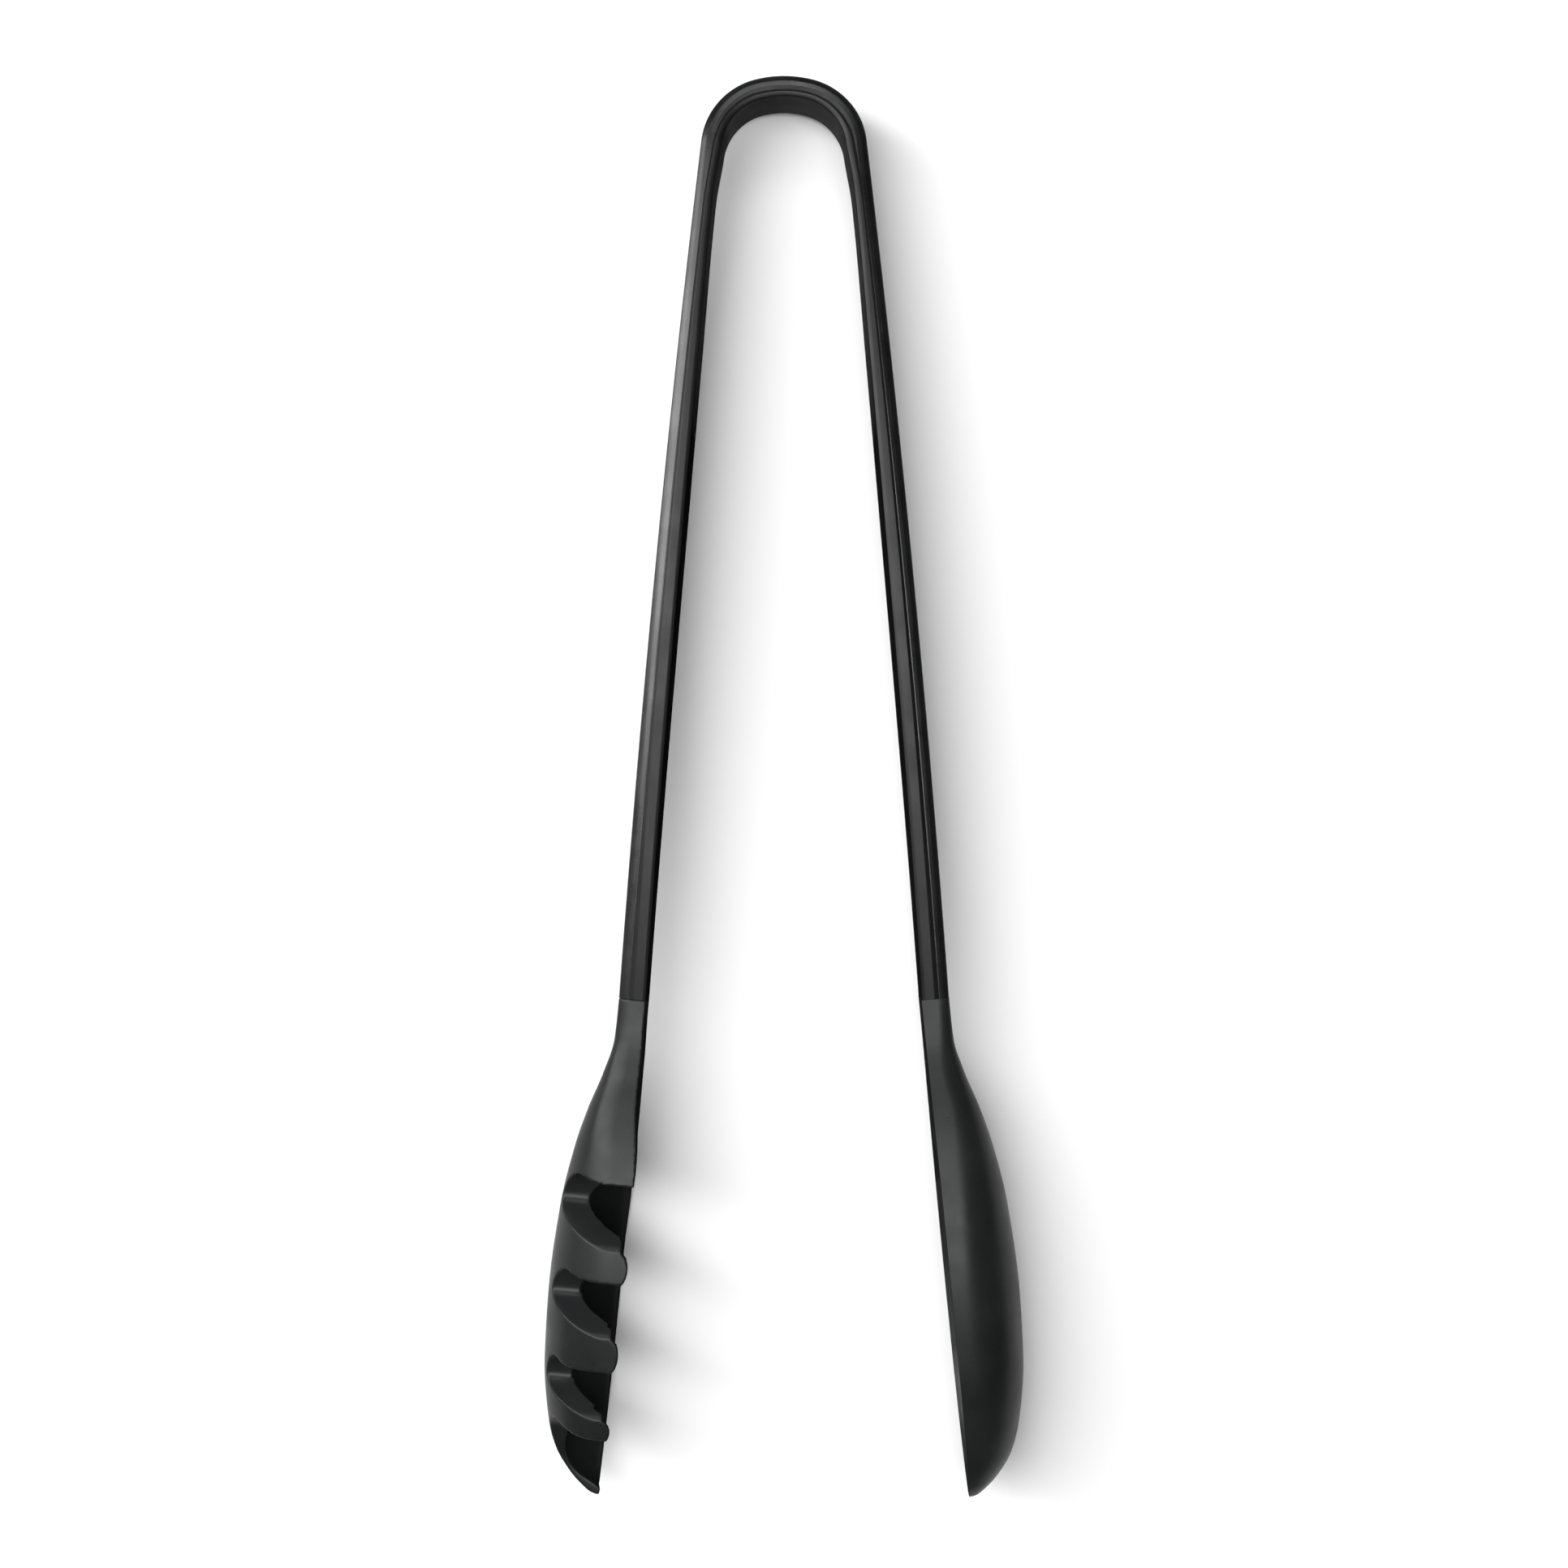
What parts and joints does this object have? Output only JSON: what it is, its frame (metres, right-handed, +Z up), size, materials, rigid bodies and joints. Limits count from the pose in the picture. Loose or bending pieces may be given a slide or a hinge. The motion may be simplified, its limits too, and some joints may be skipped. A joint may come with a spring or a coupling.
{
  "type": "spring loaded kitchen tongs",
  "caption": "Dark nylon kitchen tongs: a sprung U-shaped handle with a toothed fork head on one arm and a plain spoon head on the other.",
  "frame": {"origin": "on the resting surface, below the middle of the bounding box, with the tongs lying on their side", "axes": "+Y towards the bow, +X from the fork head to the spoon head, +Z up across the width of the band"},
  "size_m": [0.0948, 0.281, 0.028],
  "materials": {
    "shell_nylon": "fine moulded texture",
    "liner_nylon": "satin, faint lengthwise lines",
    "head_nylon": "satin moulded",
    "spring_steel": "rolled strip",
    "pin_steel": "drawn wire"
  },
  "bodies": {
    "bow": {"bow_shell": "shell_nylon", "bow_liner": "liner_nylon", "spring_strip": "spring_steel"},
    "left_arm": {"left_arm_shell": "shell_nylon", "left_arm_liner": "liner_nylon", "fork_head": "head_nylon", "fork_neck_pins": "pin_steel"},
    "right_arm": {"right_arm_shell": "shell_nylon", "right_arm_liner": "liner_nylon", "spoon_head": "head_nylon", "spoon_neck_pins": "pin_steel"}
  },
  "joints": [
    {"name": "left_flex", "type": "hinge", "parent": "bow", "child": "left_arm", "pos_m": [-0.012, 0.12728, 0.014], "axis": [0, 0, 1], "range_deg": [0, 7.75], "stiffness_Nm_per_rad": 5, "deforming": ["spring_strip"]},
    {"name": "right_flex", "type": "hinge", "parent": "bow", "child": "right_arm", "pos_m": [0.012, 0.12728, 0.014], "axis": [0, 0, 1], "range_deg": [-7.75, 0], "stiffness_Nm_per_rad": 5, "deforming": ["spring_strip"]}
  ],
  "couplings": [
    {"joint": "right_flex", "follows": "left_flex", "ratio": -1}
  ]
}
